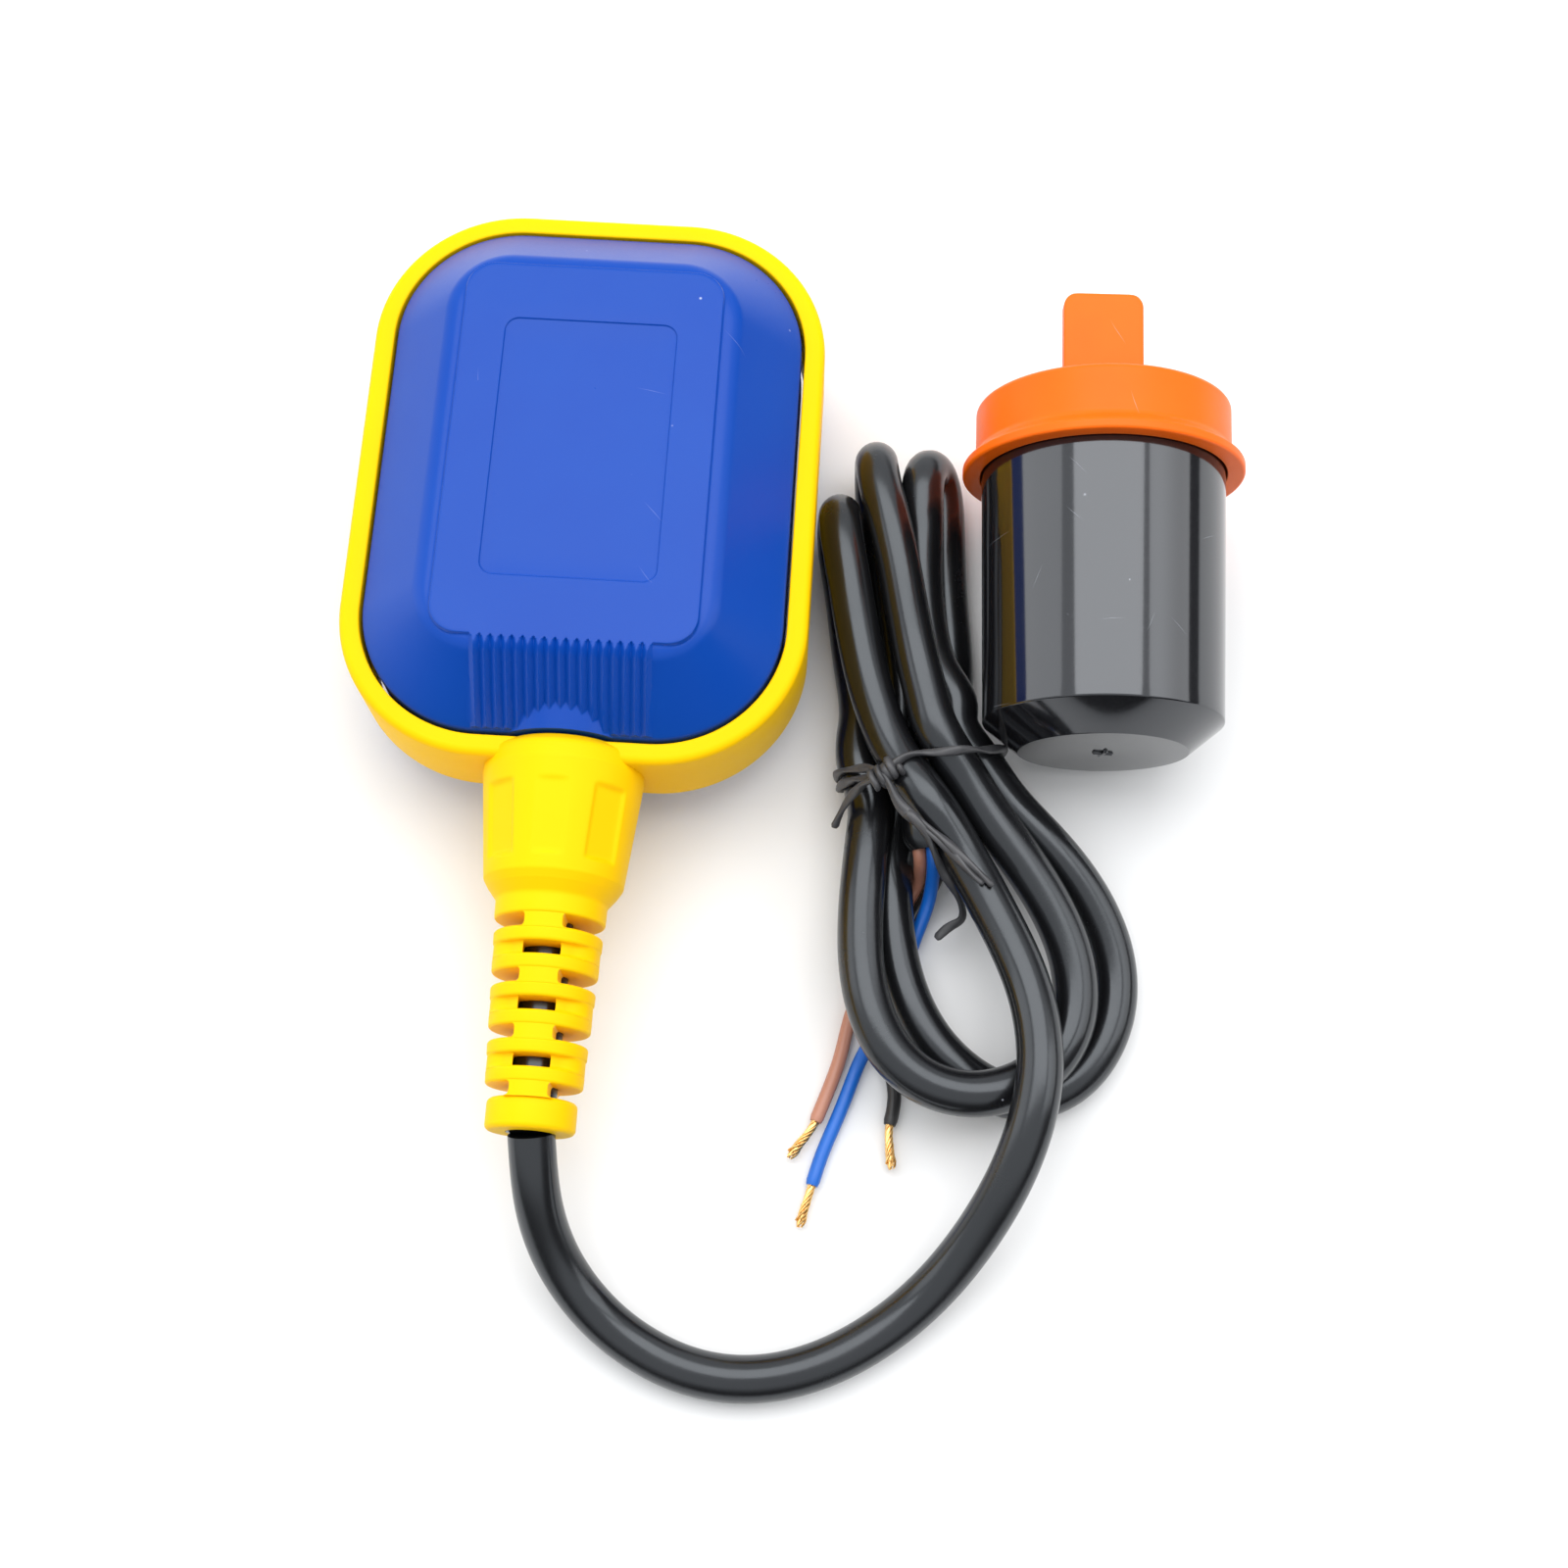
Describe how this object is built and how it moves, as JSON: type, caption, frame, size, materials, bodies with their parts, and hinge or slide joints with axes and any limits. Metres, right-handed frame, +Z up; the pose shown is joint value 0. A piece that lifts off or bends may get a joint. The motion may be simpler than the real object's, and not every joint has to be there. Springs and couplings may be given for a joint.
{
  "type": "cable float switch",
  "caption": "Cable float switch: blue two-shell float in a yellow frame, slotted strain relief, tied black cable with bare cores, and a capped counterweight.",
  "frame": {"origin": "centre of the float's flat underside, on the surface that it lies on", "axes": "+Z up through the float's thickness, +Y along the float away from its cable, +X to the right seen from above"},
  "size_m": [0.1546, 0.2037, 0.0495],
  "materials": {
    "blue_shell": "satin moulded",
    "yellow_ring": "soft moulded",
    "white_capsule": "moulded",
    "switch_black": "moulded",
    "plunger_red": "moulded",
    "lever_orange": "moulded",
    "steel": "plain",
    "brass": "plain",
    "copper": "bare twisted strands",
    "seal_rubber": "plain",
    "cable_jacket": "smooth, slight gloss",
    "core_brown": "smooth insulation",
    "core_blue": "smooth insulation",
    "core_black": "smooth insulation",
    "tie_grey": "coated wire",
    "weight_black": "gloss moulded",
    "cap_orange": "moulded",
    "ballast": "as cast"
  },
  "bodies": {
    "root": {"upper_shell": "blue_shell", "lower_shell": "blue_shell", "ring_and_strain_relief": "yellow_ring", "capsule_base": "white_capsule", "capsule_lid": "white_capsule", "lid_screws": "steel", "lever_pin": "steel", "switch_case": "switch_black", "switch_cover": "switch_black", "common_terminal": "brass", "open_terminal": "brass", "closed_terminal": "brass", "switch_screws": "steel", "cable_seal": "seal_rubber", "cable_clamp": "switch_black", "clamp_screws": "steel", "inner_core_brown": "core_brown", "inner_core_blue": "core_blue", "inner_core_black": "core_black", "cable_in_gland": "cable_jacket", "cable_lead": "cable_jacket", "cable_hank": "cable_jacket", "core_brown": "core_brown", "core_blue": "core_blue", "core_black": "core_black", "strands_brown": "copper", "strands_blue": "copper", "strands_black": "copper", "wire_tie": "tie_grey", "weight_case": "weight_black", "weight_slug": "ballast", "weight_cap": "cap_orange"},
    "ball": {"steel_ball": "steel"},
    "rocker": {"lever": "lever_orange"},
    "plunger_body": {"plunger": "plunger_red"},
    "blade_body": {"contact_blade": "brass"}
  },
  "joints": [
    {"name": "ball_roll", "type": "slide", "parent": "root", "child": "ball", "axis": [0, -1, 0], "range_m": [0, 0.016]},
    {"name": "lever_rock", "type": "hinge", "parent": "root", "child": "rocker", "pos_m": [0, -0.002, 0.02735], "axis": [1, 0, 0], "range_deg": [0, 5.45]},
    {"name": "plunger_press", "type": "slide", "parent": "root", "child": "plunger_body", "axis": [0, 0, -1], "range_m": [0, 0.00113], "stiffness_N_per_m": 60},
    {"name": "blade_snap", "type": "hinge", "parent": "root", "child": "blade_body", "pos_m": [-0.0074, -0.01305, 0.0186], "axis": [0, 1, 0], "range_deg": [0, 6.24]}
  ],
  "couplings": [
    {"joint": "lever_rock", "follows": "ball_roll", "rad_per_m": 5.941},
    {"joint": "plunger_press", "follows": "ball_roll", "ratio": 0.070648},
    {"joint": "blade_snap", "follows": "ball_roll", "rad_per_m": 6.8065}
  ]
}
